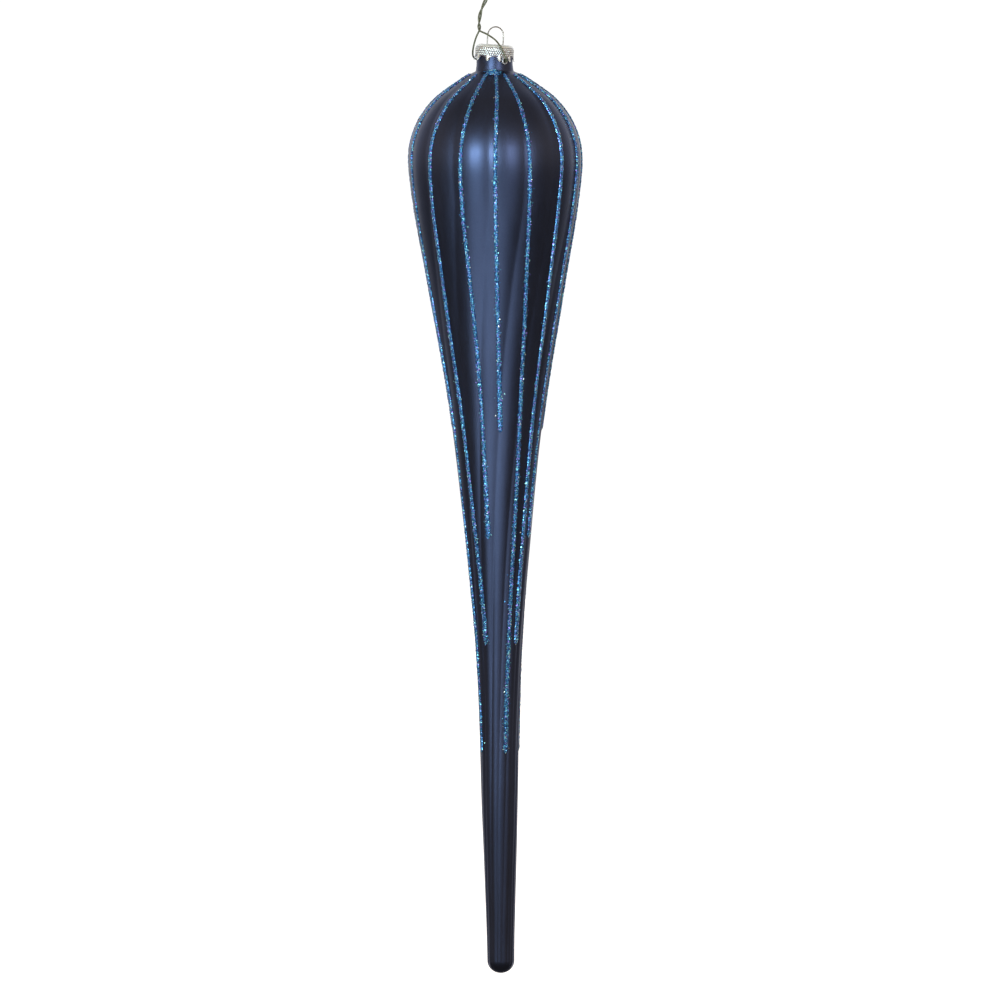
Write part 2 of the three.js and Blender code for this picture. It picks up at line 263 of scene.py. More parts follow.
def cut(obj, cutters):
    """Takes closed (verts, faces) solids out of obj."""
    for verts, faces in cutters:
        mesh = bpy.data.meshes.new("cutter")
        mesh.from_pydata((np.asarray(verts, float) * MM).tolist(), [], faces)
        cutter = bpy.data.objects.new("cutter", mesh)
        bpy.context.scene.collection.objects.link(cutter)
        modifier = obj.modifiers.new("cut", "BOOLEAN")
        modifier.operation = "DIFFERENCE"
        modifier.solver = "EXACT"
        modifier.object = cutter
        bpy.context.view_layer.update()
        depsgraph = bpy.context.evaluated_depsgraph_get()
        result = bpy.data.meshes.new_from_object(obj.evaluated_get(depsgraph))
        obj.modifiers.clear()
        obj.data = result
        bpy.data.objects.remove(cutter)


def rod_solid(start, end, radius, sides=32):
    """A closed round rod between two points, as (verts, faces)."""
    start, end = np.array(start, float), np.array(end, float)
    axis = (end - start) / np.linalg.norm(end - start)
    side = np.cross(axis, [0, 0, 1.0])
    side /= np.linalg.norm(side)
    up = np.cross(side, axis)
    turns = np.linspace(0, 2 * np.pi, sides, endpoint=False)
    ring = radius * (np.cos(turns)[:, None] * side + np.sin(turns)[:, None] * up)
    verts = np.vstack([start + ring, end + ring])
    faces = [tuple(reversed(f)) for f in ring_faces(2, sides)]
    return verts, faces + [tuple(range(sides)), tuple(range(2 * sides - 1, sides - 1, -1))]


def tube(points, radii, sides):
    """A round tube with softened ends along points, as (verts, faces)."""
    tangents = np.gradient(points, axis=0)
    tangents /= np.linalg.norm(tangents, axis=1, keepdims=True)
    side = np.cross(tangents[0], [0.3, 0.2, 1.0])
    side /= np.linalg.norm(side)
    turns = np.linspace(0, 2 * np.pi, sides, endpoint=False)
    rings = []
    last = len(points) - 1
    for i, (point, tangent) in enumerate(zip(points, tangents)):
        side = side - tangent * side.dot(tangent)
        side /= np.linalg.norm(side)
        up = np.cross(tangent, side)
        ring = np.cos(turns)[:, None] * side + np.sin(turns)[:, None] * up
        if i == 0:
            rings.append(point - tangent * 0.05 + ring * radii[0] * 0.8)
        rings.append(point + ring * radii[i])
        if i == last:
            rings.append(point + tangent * 0.05 + ring * radii[last] * 0.8)
    verts = np.vstack(rings)
    faces = ring_faces(len(rings), sides)
    count = len(verts)
    return verts, faces + [tuple(range(sides - 1, -1, -1)), tuple(range(count - sides, count))]


# ---- Finishes ----

class Finish:
    """A Principled material with its nodes."""

    def __init__(self, name, **settings):
        self.material = bpy.data.materials.new(name)
        self.material.use_nodes = True
        self.tree = self.material.node_tree
        self.surface = self.tree.nodes["Principled BSDF"]
        self.place = self.add("ShaderNodeTexCoord").outputs["Object"]
        for socket, value in settings.items():
            self.surface.inputs[socket.replace("_", " ")].default_value = value

    def add(self, kind, **values):
        node = self.tree.nodes.new(kind)
        for name, value in values.items():
            setattr(node, name, value)
        return node

    def join(self, output, socket):
        self.tree.links.new(output, socket)

    def drive(self, socket, output):
        self.join(output, self.surface.inputs[socket])

    def noise(self, per_mm, detail=3, roughness=0.5, stretch=(1, 1, 1), offset=0.0):
        mapping = self.add("ShaderNodeMapping")
        mapping.inputs["Scale"].default_value = [s * per_mm / MM for s in stretch]
        mapping.inputs["Location"].default_value = [offset] * 3
        self.join(self.place, mapping.inputs["Vector"])
        noise = self.add("ShaderNodeTexNoise")
        noise.inputs["Scale"].default_value = 1
        noise.inputs["Detail"].default_value = detail
        noise.inputs["Roughness"].default_value = roughness
        self.join(mapping.outputs["Vector"], noise.inputs["Vector"])
        return noise.outputs["Fac"]

    def attribute(self, name):
        node = self.add("ShaderNodeAttribute", attribute_name=name, attribute_type="GEOMETRY")
        return node.outputs["Fac"]

    def spread(self, value, low, high, to_low, to_high):
        node = self.add("ShaderNodeMapRange", clamp=True)
        limits = {"From Min": low, "From Max": high, "To Min": to_low, "To Max": to_high}
        for socket, number in limits.items():
            node.inputs[socket].default_value = number
        self.join(value, node.inputs["Value"])
        return node.outputs["Result"]

    def combine(self, first, second, operation="ADD"):
        node = self.add("ShaderNodeMath", operation=operation)
        self.join(first, node.inputs[0])
        if isinstance(second, (int, float)):
            node.inputs[1].default_value = second
        else:
            self.join(second, node.inputs[1])
        return node.outputs[0]

    def ramp(self, value, stops, interpolation="LINEAR"):
        node = self.add("ShaderNodeValToRGB")
        node.color_ramp.interpolation = interpolation
        elements = node.color_ramp.elements
        while len(elements) < len(stops):
            elements.new(0.5)
        for element, (position, colour) in zip(elements, stops):
            element.position = position
            element.color = (*colour, 1)
        self.join(value, node.inputs["Fac"])
        return node.outputs["Color"]

    def bump(self, height, strength, distance_mm):
        node = self.add("ShaderNodeBump")
        node.inputs["Strength"].default_value = strength
        node.inputs["Distance"].default_value = distance_mm * MM
        self.join(height, node.inputs["Height"])
        self.drive("Normal", node.outputs["Normal"])


def midnight_paint():
    """Satin metallic navy, sprayed: a fine orange peel, cloudy flake and a few faint scuffs."""
    finish = Finish("midnight_blue_satin", Metallic=0.95)
    cloud = finish.noise(0.06, 3, 0.55, (1, 1, 0.35))
    flake = finish.noise(3.2, 1, 0.6)
    cloud_tone = finish.spread(cloud, 0.3, 0.7, 0.2, 0.55)
    flake_tone = finish.spread(flake, 0.3, 0.7, -0.16, 0.16)
    tone = finish.combine(cloud_tone, flake_tone)
    scuff = finish.spread(finish.noise(1.3, 4, 0.7, (1, 1, 0.6), 5.7), 0.66, 0.72, 0, 0.45)
    stops = [(0.0, (0.040, 0.052, 0.110)), (1.0, (0.064, 0.083, 0.170))]
    finish.drive("Base Color", finish.ramp(finish.combine(tone, scuff), stops))
    streak = finish.noise(0.5, 3, 0.6, (1, 1, 0.12), 3.1)
    finish.drive("Roughness", finish.spread(streak, 0.3, 0.7, 0.35, 0.41))
    fine_peel = finish.combine(finish.noise(4.5, 1, 0.5), 0.3, "MULTIPLY")
    finish.bump(finish.combine(finish.noise(1.1, 2, 0.5), fine_peel), 0.12, 0.05)
    return finish.material


def glitter_finish():
    """Foil flakes: each facet takes one of eight colours, from dark blue through violet to white."""
    finish = Finish(
        "blue_glitter_flakes", Metallic=0.5, Roughness=0.3, Coat_Weight=0.3, Coat_Roughness=0.15
    )
    colours = [
        (0.0, (0.008, 0.034, 0.140)), (0.20, (0.014, 0.080, 0.290)), (0.42, (0.024, 0.160, 0.470)),
        (0.62, (0.040, 0.260, 0.640)), (0.75, (0.170, 0.640, 0.980)), (0.84, (0.360, 0.260, 1.0)),
        (0.90, (0.400, 0.950, 1.0)), (0.96, (0.950, 1.0, 1.0)),
    ]
    finish.drive("Base Color", finish.ramp(finish.attribute("fleck"), colours, "CONSTANT"))
    finish.bump(finish.noise(6.0, 1, 0.5), 0.1, 0.03)
    return finish.material


def pressed_metal():
    """Bright sheet with painted shade: darkest in the lows of its pressed pattern, dark inside and on the
    tongues, and a little darker on the plain petals than on the plain top.
    """
    finish = Finish("pressed_silver_painted_shade", Metallic=0.55)
    cloud = finish.spread(finish.noise(0.8, 3, 0.6), 0.3, 0.7, -0.1, 0.1)
    # Painted shade: the attribute made from the pressing and the fixed tones, plus a little cloud, sets how
    # far the colour runs from the dark grey of the lows to bright silver.
    shade = finish.combine(finish.spread(finish.attribute("pressing_shade"), 0.0, 0.16, 0.0, 0.85), cloud)
    stops = [(0.0, (0.12, 0.11, 0.16)), (0.45, (0.70, 0.72, 0.80)), (0.85, (0.94, 0.97, 1.0))]
    finish.drive("Base Color", finish.ramp(shade, stops))
    finish.drive("Roughness", finish.spread(finish.noise(2.4, 3, 0.6, (1, 1, 0.3)), 0.3, 0.7, 0.22, 0.38))
    finish.bump(finish.noise(3.0, 2, 0.5), 0.08, 0.03)
    return finish.material


def spring_wire():
    finish = Finish("spring_steel_drawn", Metallic=1.0)
    stops = [(0.3, (0.26, 0.235, 0.225)), (0.7, (0.40, 0.38, 0.37))]
    finish.drive("Base Color", finish.ramp(finish.noise(1.5, 2, 0.5), stops))
    finish.drive("Roughness", finish.spread(finish.noise(3.0, 2, 0.5), 0.3, 0.7, 0.2, 0.34))
    finish.bump(finish.noise(5.0, 2, 0.5), 0.05, 0.02)
    return finish.material


def enamelled_wire():
    finish = Finish("green_enamel_wire", Metallic=0.25, Coat_Weight=0.25, Coat_Roughness=0.3)
    stops = [(0.3, (0.085, 0.092, 0.062)), (0.55, (0.140, 0.145, 0.100)), (0.75, (0.21, 0.21, 0.16))]
    finish.drive("Base Color", finish.ramp(finish.noise(0.7, 4, 0.65), stops))
    finish.drive("Roughness", finish.spread(finish.noise(2.0, 3, 0.6), 0.3, 0.7, 0.36, 0.56))
    finish.bump(finish.noise(2.5, 3, 0.6), 0.2, 0.05)
    return finish.material


PAINT = midnight_paint()
GLITTER = glitter_finish()
SILVER = pressed_metal()
STEEL = spring_wire()
ENAMEL = enamelled_wire()


# ---- Shell: outside from the tip up to the rim, then down the inside ----

def shell_columns():
    """The even angles of the mesh's columns, closest together at the creases."""
    half = np.array([0, 0.06, 0.13, 0.24, 0.40, 0.60, 0.80, 0.94])  # from the crease to the ridge
    one_flute = np.unique(np.round(np.concatenate([half / 2, 1 - half / 2]), 4))[:-1]
    return (np.arange(FLUTES)[:, None] + one_flute[None, :]).ravel() * PITCH + FIRST_CREASE


def build_shell():
    columns = shell_columns()
    tip_depths = [BODY_END + TIP_LENGTH * math.sin(turn) for turn in np.radians(np.linspace(88, 4, 14))]
    body_depths = [depth for depth in resample(outline, 1.25)[::-1, 1] if depth > 0.01]
    rows = [at_even_angle(columns, depth) for depth in [*tip_depths, *body_depths]]
    azimuths = azimuth_of(columns, 0)
    rows += [around(azimuths, radius, NECK_FOOT_Z + height) for radius, height in NECK_SECTION]
    for depth in INSIDE_DEPTHS:
        extra = SHOULDER_EXTRA if depth < SHOULDER_EXTRA_TO else 0
        radius = ridge_radius(depth) * (1 - FLUTE_DEPTH_ICICLE) - WALL - extra
        rows.append(around(azimuths, radius, NECK_FOOT_Z - depth - INSIDE_DROP))
    poles = [[0, 0, NECK_FOOT_Z - TIP_DEPTH], [0, 0, NECK_FOOT_Z - INSIDE_TIP]]
    verts = np.vstack([*rows, poles])
    n = len(columns)
    faces = ring_faces(len(rows), n)
    outer_pole, inner_pole = len(verts) - 2, len(verts) - 1
    last = (len(rows) - 1) * n
    for c in range(n):
        faces.append((outer_pole, (c + 1) % n, c))
        faces.append((inner_pole, last + c, last + (c + 1) % n))
    shell = piece("shell_fluted", verts, faces, PAINT, "ornament", ["ornament_shell"])
    cut(shell, [drill(azimuth) for azimuth in (HOLE_AZIMUTH, HOLE_AZIMUTH + 180)])


def drill(azimuth):
    """The cutter of one of the neck's two drilled holes."""
    return rod_solid(around(azimuth, 5.0, HOLE_Z), around(azimuth, 9.5, HOLE_Z), HOLE_R)


build_shell()


# ---- Cap: pressed sheet, in its own frame with the middle of its top at 0 ----

CAP_R = 8.2
CAP_WALL = 0.22
CAP_FLAT_R = 5.9
SHOULDER_R = CAP_R - CAP_FLAT_R
PETALS = 10
PETAL_TIP = -7.0
PETAL_FLARE = 0.5775
FLARE_DEPTHS = (5.1, 7.3)
ARCH_R = 2.3
ARCH_AZIMUTH = -38
MM_PER_DEGREE = math.pi / 180 * CAP_R

# The pressed pattern. A boss or bead has a radius and a height.
BEADS_ROUND = 50
BEAD_ROWS = 4
FIRST_BEAD_DEPTH = 1.75
BEAD_STEP = 0.86
BEAD = (0.46, 0.21)
BOSS_DEPTH = 5.25
BOSS = (0.8, 0.26)
BAND_SINK = 0.22  # the pressed band lies this far in, so that its beads end level with the plain sheet
BAND_TOP = (0.9, 1.3)  # depths over which the sheet steps in to the band
BAND_FOOT = (-7.4, -6.6)  # heights over which it comes out again

# Values the finish paints shade from: 0 is the low of the pressed pattern and is painted darkest. The plain
# top, the plain petals and the inside get fixed tones of painted shade, the inside the darkest of the
# three.
SHADE_TONE_TOP = 0.2
PRESSED_TOP_Z = -1.1  # the plain top ends here
SHADE_TONE_PETAL = 0.12
PRESSED_PETAL_Z = -6  # the plain petals begin here
SHADE_TONE_INSIDE = 0.05

TAB_R = 1.45
TAB_HALF_WIDTH = 1.0
TAB_WIDEST = 2.6
TAB_TOP = 2.45
TAB_FLARE = 0.25
TAB_SINK = 0.05
TAB_RINGS = [(0.0, -0.03), (0.03, 0.0), (0.25, 0.03), (0.45, -0.03), (0.72, -0.03), (1.0, -0.03)]

LOOP_R = 3.65
LOOP_YAW = math.radians(-25)
SLOT_HALF = (1.05, 0.525)
SLOT_SQUARENESS = 0.45
SLOT_CUT = 1.2

cap_tilt = CAP_AXIS.angle(Vector((0, 0, 1)))
CAP_FRAME = Matrix.Translation(CAP_CENTRE) @ Matrix.Rotation(cap_tilt, 4, "Y")


def in_cap_frame(points):
    turn = np.array(CAP_FRAME.to_3x3())
    return np.asarray(points) @ turn.T + np.array(CAP_CENTRE)


def petal_edge(azimuth):
    """The height of the cap's lower edge: petals between round arches."""
    pitch = 360 / PETALS
    off = (np.mod(azimuth - ARCH_AZIMUTH + pitch / 2, pitch) - pitch / 2) * MM_PER_DEGREE
    arch = PETAL_TIP - 0.5 + np.sqrt(np.maximum(0, ARCH_R**2 - off**2))
    return np.maximum(PETAL_TIP, arch)


def boss(across, up, radius, height):
    """A round pressed boss."""
    away = np.sqrt(across**2 + up**2) / radius
    return height * np.clip(1 - away**2, 0, 1) ** 0.8


def embossing(azimuth, z):
    """How far out the pressed pattern stands: rows of small beads, and a boss above each petal."""
    pitch = 360 / PETALS
    petal_off = (np.mod(azimuth - ARCH_AZIMUTH, pitch) - pitch / 2) * MM_PER_DEGREE
    out = boss(petal_off, z + BOSS_DEPTH, *BOSS)
    step = 360 / BEADS_ROUND
    for row in range(BEAD_ROWS):
        shift = step / 2 * (row % 2)
        off = (np.mod(azimuth - ARCH_AZIMUTH + shift + step / 2, step) - step / 2) * MM_PER_DEGREE
        out = np.maximum(out, boss(off, z + FIRST_BEAD_DEPTH + row * BEAD_STEP, *BEAD))
    return out - BAND_SINK * smoothstep(-z, *BAND_TOP) * smoothstep(z, *BAND_FOOT)


def cap_outside(columns):
    """The cap's outside from its top down, as rows of points, their normals and the values the finish
    paints shade from: how they are pressed, or a fixed tone of painted shade on the plain top and petals.
    """
    n = len(columns)
    rows, normals, pressing_shade = [], [], []
    for radius in (0.7, 1.8, 2.6, 3.3, 4.0, 4.7, 5.3, CAP_FLAT_R):
        rows.append(around(columns, radius, 0.0))
        normals.append(np.tile([0, 0, 1.0], (n, 1)))
        pressing_shade.append(np.full(n, SHADE_TONE_TOP))
    for turn in np.radians(np.linspace(80, 8, 9)):
        normal = around(columns, math.cos(turn), math.sin(turn))
        z = -SHOULDER_R + SHOULDER_R * math.sin(turn)
        push = embossing(columns, z)
        plain = around(columns, CAP_FLAT_R + SHOULDER_R * math.cos(turn), z)
        rows.append(plain + push[:, None] * normal)
        normals.append(normal)
        pressing_shade.append(np.full(n, SHADE_TONE_TOP) if z > PRESSED_TOP_Z else push + BAND_SINK)
    edge = petal_edge(columns)
    for share in np.linspace(0, 1, 34):
        z = -SHOULDER_R + (edge + SHOULDER_R) * share
        push = embossing(columns, z)
        rows.append(around(columns, CAP_R + PETAL_FLARE * smoothstep(-z, *FLARE_DEPTHS) + push, z))
        normals.append(around(columns, 1.0, 0.0))
        pressing_shade.append(np.where(z < PRESSED_PETAL_Z, SHADE_TONE_PETAL, push + BAND_SINK))
    return np.array(rows), np.array(normals), pressing_shade


def tab_reach(cosine, sine):
    """How far the tongue reaches from its hole: round below it, straight-sided and flat-topped above."""
    straight_side = np.clip(TAB_HALF_WIDTH / np.maximum(np.abs(cosine), 0.05), TAB_R, TAB_WIDEST)
    flat_top = TAB_TOP / np.maximum(sine, 0.1)
    return np.where(sine > 0.75, flat_top, np.where(sine > 0, straight_side, TAB_R))


def tab(azimuth):
    """The tongue of sheet that a drilled hole is in: a ring mesh from the hole to the tongue's outline."""
    hole = CAP_FRAME.inverted() @ Vector(around(azimuth, CAP_R, HOLE_Z))
    turns = np.radians(np.arange(0, 360, 7.5))
    cosine, sine = np.cos(turns), np.sin(turns)
    outer, inner = [], []
    for share, lift in TAB_RINGS:
        reach = HOLE_R + (tab_reach(cosine, sine) - HOLE_R) * share
        z = hole.z + reach * sine
        radius = CAP_R + TAB_FLARE * smoothstep(-z, 5.4, 8.0) - TAB_SINK + lift
        turned = azimuth + np.degrees(reach * cosine / CAP_R)
        outer.append(around(turned, radius, z))
        inner.append(around(turned, radius - CAP_WALL, z))
    n = len(turns)
    faces = ring_faces(2 * len(outer), n)
    last = (2 * len(outer) - 1) * n
    faces += [(last + c, last + (c + 1) % n, (c + 1) % n, c) for c in range(n)]
    return np.vstack([*outer, *inner[::-1]]), faces


def build_cap():
    columns = np.arange(0, 360, 0.75)
    n = len(columns)
    outer, normals, pressing_shade = cap_outside(columns)
    inner = outer - normals * CAP_WALL
    count = len(outer)
    verts = np.vstack([
        outer[::-1].reshape(-1, 3), [[0, 0, 0]],
        inner.reshape(-1, 3), [[0, 0, -CAP_WALL]],
    ])
    top = count * n
    first = top + 1
    pole = first + count * n
    low = first + (count - 1) * n
    faces = ring_faces(count, n)
    faces += [((count - 1) * n + c, (count - 1) * n + (c + 1) % n, top) for c in range(n)]
    faces += ring_faces(count, n, first)
    faces += [(first + (c + 1) % n, first + c, pole) for c in range(n)]
    faces += [(c, low + c, low + (c + 1) % n, (c + 1) % n) for c in range(n)]
    for azimuth in (HOLE_AZIMUTH, HOLE_AZIMUTH + 180):
        tab_verts, tab_faces = tab(azimuth)
        faces += [tuple(i + len(verts) for i in face) for face in tab_faces]
        verts = np.vstack([verts, tab_verts])
    crown = piece("cap_crown", in_cap_frame(verts), faces, SILVER, "ornament", ["cap"])
    # Painted shade: the outside takes its values row by row; every other point (the inside, the tongues and
    # the top's middle point) takes the dark inside tone.
    outside = np.concatenate(pressing_shade[::-1])
    rest = np.full(len(verts) - len(outside), SHADE_TONE_INSIDE)
    give_values(crown, "pressing_shade", np.concatenate([outside, rest]), "POINT")
    cut(crown, [slot_solid(side) for side in (-1, 1)])


def squared(wave):
    """A sine or cosine bent so that the loop it draws is nearly a rectangle."""
    return np.sign(wave) * np.abs(wave) ** SLOT_SQUARENESS


def yawed(x, y, z):
    """Points turned to the hanger's plane."""
    cosine, sine = math.cos(LOOP_YAW), math.sin(LOOP_YAW)
    return np.stack([x * cosine - y * sine, x * sine + y * cosine, z], axis=1)


def slot_solid(side):
    """The cutter of one of the two slots that the hanger's legs go through."""
    turns = np.radians(np.arange(0, 360, 15))
    x = side * LOOP_R + squared(np.cos(turns)) * SLOT_HALF[0]
    y = squared(np.sin(turns)) * SLOT_HALF[1]
    n = len(turns)
    ends = [yawed(x, y, np.full(n, z)) for z in (-SLOT_CUT, SLOT_CUT)]
    faces = [*ring_faces(2, n), tuple(range(n - 1, -1, -1)), tuple(range(n, 2 * n))]
    return in_cap_frame(np.vstack(ends)), faces


build_cap()


# ---- Spring hanger ----

HANGER_WIRE = 0.55
LOOP_HEIGHT = 7.6
LEG_DEPTH = 12
LEG_SPLAY = 5.2
TUBE_SIDES = 14


def build_hanger():
    arc_z = LOOP_HEIGHT - HANGER_WIRE / 2 - LOOP_R
    half = []
    for turn in np.radians([90, 67, 45, 22, 0]):
        half.append([LOOP_R * math.cos(turn), arc_z + LOOP_R * math.sin(turn)])
    half += [
        [LOOP_R, 1.8], [LOOP_R, 0], [LOOP_R, -0.6], [LOOP_R + 0.45, -3.5],
        [LEG_SPLAY - 0.3, -8.5], [LEG_SPLAY, -LEG_DEPTH],
    ]
    flat = [[-x, 0, z] for x, z in half[:0:-1]] + [[x, 0, z] for x, z in half]
    points = resample(centripetal(flat, 400), 0.25)
    route = in_cap_frame(yawed(*points.T))
    verts, faces = tube(route, np.full(len(route), HANGER_WIRE / 2), TUBE_SIDES)
    piece("hanger_spring", verts, faces, STEEL, "hanger", ["hanger_loop"])


build_hanger()


# ---- Tie wire, on the CAD's route ----

TIE_WIRE = 0.75
TIE_STEP = 0.28
EYE_R = 3.5
STRAND_OFFSET = 0.42
STRAND_STEPS = 24
WRAP_R = 1.3
CROSSINGS = [-28.4, -25.4, -19.4, -13.4, -7.4]
TWIST_MIDDLE = [
    [0, 0, -8.6], [-3.3, -0.6, -15.3], [-5.3, -1.1, -19.6], [-6.3, -1.5, -24], [-6.3, -1.6, -28.4],
]
FRONT_LEG = [
    (-3, -4.2, -30.1), (0.4, -6.6, -32.5), (2.3, -8.4, -34.9), (3.5, -8.8, -37.2),
    (4.3, -8.7, -39.1), (4.95, -8.5, -40.4),
]
BACK_LEG = [
    (-6.4, 8.2, -41), (-8, 6.9, -40.4), (-9, 4.6, -39.3), (-9.15, 2.2, -37.6),
    (-8.8, 0.6, -35.2), (-7.7, -0.7, -31.4),
]

twist_middle = centripetal(TWIST_MIDDLE, 600)
twist_along = lengths_along(twist_middle)


def on_twist_middle(length):
    return np.array([np.interp(length, twist_along, twist_middle[:, k]) for k in range(3)])


def twist_at(share):
    """The middle of the twist at a share of its length, and the way it runs there."""
    at = share * twist_along[-1]
    step = 0.02
    way = on_twist_middle(min(at + step, twist_along[-1])) - on_twist_middle(max(at - step, 0))
    return on_twist_middle(at), way / np.linalg.norm(way)


def strand_point(share, side):
    """A point of one of the two twisted strands, which cross at the heights in CROSSINGS."""
    middle, along = twist_at(share)
    back = np.array([0, 1.0, 0]) - along * along[1]
    back /= np.linalg.norm(back)
    across = np.cross(along, back)
    turn = math.pi * np.interp(middle[2], CROSSINGS, range(len(CROSSINGS)))
    return middle + side * STRAND_OFFSET * (back * math.cos(turn) + across * math.sin(turn))


def tie_route():
    """Down one strand, through the holes, up the other, round the eye and once about the twist."""
    points = [strand_point(i / STRAND_STEPS, -1) for i in range(1, STRAND_STEPS + 1)]
    points += FRONT_LEG
    points += [around(HOLE_AZIMUTH, radius, HOLE_Z) for radius in (9.3, 8, 4, 0, -4, -8, -9.3)]
    points += BACK_LEG
    points += [strand_point(i / STRAND_STEPS, 1) for i in range(STRAND_STEPS, -1, -1)]
    reach = EYE_R + TIE_WIRE / 2
    for turn in np.radians(np.arange(-60, 241, 30)):
        points.append((reach * math.cos(turn), 0, -EYE_R + reach * math.sin(turn)))
    for i in range(9):
        turn = math.radians(-130 + 50 * i)
        middle, _ = twist_at(0.02 + 0.012 * i)
        points.append(middle + np.array([WRAP_R * math.cos(turn), WRAP_R * math.sin(turn), 0]))
    return resample(centripetal(points, 2400), TIE_STEP)


def build_tie():
    points = tie_route()
    along = np.arange(len(points)) * TIE_STEP
    radii = TIE_WIRE / 2 * (1 + 0.025 * np.sin(along / 1.7) + 0.02 * np.sin(along / 0.61 + 1))
    verts, faces = tube(points, radii, TUBE_SIDES)
    piece("tie_wire_green", verts, faces, ENAMEL, "tie_wire", ["floral_wire"])


build_tie()


# ---- Glitter ----

GRAIN = 0.42  # size of a facet of the glitter
LINE_START = 1.1
LINE_ENDS = [287, 241, 196, 151]
LINE_COURSES = [  # azimuths at a line's start, at a quarter and at 0.62 of its end's depth, and at its end
    [-73, -76, -73, -66], [-45, -50, -49, -33], [-20, -24, -20, -17], [3, 0, 1, 4],
    [22, 25, 30, 19], [50, 50, 51, 46], [70, 71, 70, 68], [93, 92, 90, 89],
    [113, 114, 110, 104], [137, 136, 131, 125], [156, 157, 154, 150], [180, 179, 177, 175],
    [199, 200, 196, 188], [223, 222, 218, 209], [242, 243, 240, 235], [265, 264, 262, 260],
]
LINE_COLUMNS = np.array([-1, -0.62, -0.21, 0.21, 0.62, 1])
LINE_SEED = 40
LINE_FLAKES_PER_MM = 2.6
LINE_FLAKE_SIZES = (0.13, 0.24)
DAB_AZIMUTH = -5
DAB_DEPTHS = (0.02, 1.35)
DAB_COLUMNS = np.linspace(-1, 1, 17)
DAB_SEED = 7
DAB_FLAKES_PER_MM = 45
DAB_FLAKE_SIZES = (0.18, 0.34)


def hex_flake(rng, centre, normal, radius):
    """A thin six-sided flake lying near the surface, as (verts, faces)."""
    lean = normal + rng.normal(0, 0.38, 3)
    lean /= np.linalg.norm(lean)
    side = np.cross(lean, rng.normal(0, 1, 3))
    side /= np.linalg.norm(side)
    up = np.cross(lean, side)
    turns = np.arange(6) * math.pi / 3
    ring = radius * (np.cos(turns)[:, None] * side + np.sin(turns)[:, None] * up)
    verts = np.vstack([centre - 0.03 * lean + ring, centre + 0.03 * lean + ring])
    faces = [*ring_faces(2, 6), (5, 4, 3, 2, 1, 0), (6, 7, 8, 9, 10, 11)]
    return verts, faces


def bead_faces(rows, columns):
    """The faces of a closed bead: triangles over its top, quads beneath and an end cap at each end."""
    faces = []
    for r in range(rows - 1):
        here, below = r * columns, (r + 1) * columns
        for k in range(columns - 1):
            a, b, c, d = here + k, here + k + 1, below + k, below + k + 1
            faces += [(a, c, b), (b, c, d)] if (r + k) % 2 else [(a, c, d), (a, d, b)]
        faces.append((here, here + columns - 1, below + columns - 1, below))
    faces.append(tuple(range(columns)))
    faces.append(tuple((rows - 1) * columns + k for k in reversed(range(columns))))
    return faces


def dome(across):
    """The height of a bead of height 1 across its width, which runs from -1 to 1."""
    return np.sqrt(np.clip(1 - across**2, 0, 1))


def loose_flakes(rng, amount, sizes, azimuth, depth, wide, tall):
    """Flakes on and beside a bead, as (verts, faces, values)."""
    spots = rng.integers(0, len(depth), amount)
    across = rng.normal(0, 0.62, amount)
    turned = azimuth[spots] + np.degrees(wide[spots] * across / ridge_radius(depth[spots]))
    outward = shell_normal(turned, depth[spots])
    lifts = tall[spots] * dome(across) + 0.05
    centres = on_shell(turned, depth[spots]) + outward * lifts[:, None]
    verts, faces, values = [], [], []
    for centre, out in zip(centres, outward):
        flake_verts, flake_faces = hex_flake(rng, centre, out, rng.uniform(*sizes))
        first = len(verts) * len(flake_verts)
        verts.append(flake_verts)
        faces += [tuple(i + first for i in face) for face in flake_faces]
        values += [rng.uniform(0.42, 1.0)] * len(flake_faces)
    return np.vstack(verts), faces, values


def glitter_run(
    name, node, azimuths, depths, half_width, height, seed, flakes_per_mm, flake_sizes, columns
):
    """A faceted bead of glitter along a course on the shell, with loose flakes on and beside it."""
    rng = np.random.default_rng(seed)
    along = lengths_along(on_shell(azimuths, depths))
    total = along[-1]
    count = int(total / GRAIN)
    s = np.linspace(0, total, count)
    azimuth = np.interp(s, along, azimuths)
    depth = np.interp(s, along, depths)
    wide = half_width(s, total) * (1 + 0.10 * rng.normal(0, 1, count).clip(-2, 2))
    tall = height(s, total)
    across, row = np.meshgrid(columns, np.arange(count))
    moved = across + rng.uniform(-0.09, 0.09, across.shape) * (np.abs(across) < 1)
    moved_s = s[row] + rng.uniform(-0.32, 0.32, across.shape) * (total / count)
    depth_grid = np.interp(moved_s, s, depth)
    azimuth_grid = np.interp(moved_s, s, azimuth) + np.degrees(wide[row] * moved / ridge_radius(depth)[row])
    rise = tall[row] * dome(moved) + rng.uniform(-0.11, 0.11, across.shape)
    rise = np.where(np.abs(across) == 1, -0.12, np.maximum(rise, 0.06))
    outward = shell_normal(azimuth_grid, depth_grid)
    verts = (on_shell(azimuth_grid, depth_grid) + outward * rise[..., None]).reshape(-1, 3)
    faces = bead_faces(count, len(columns))
    values = list(rng.uniform(0, 0.93, len(faces)))
    flake_verts, flake_faces, flake_values = loose_flakes(
        rng, int(total * flakes_per_mm), flake_sizes, azimuth, depth, wide, tall
    )
    faces += [tuple(i + len(verts) for i in face) for face in flake_faces]
    verts = np.vstack([verts, flake_verts])
    obj = piece(name, verts, faces, GLITTER, "ornament", [node], smooth=False)
    give_values(obj, "fleck", values + flake_values, "FACE")


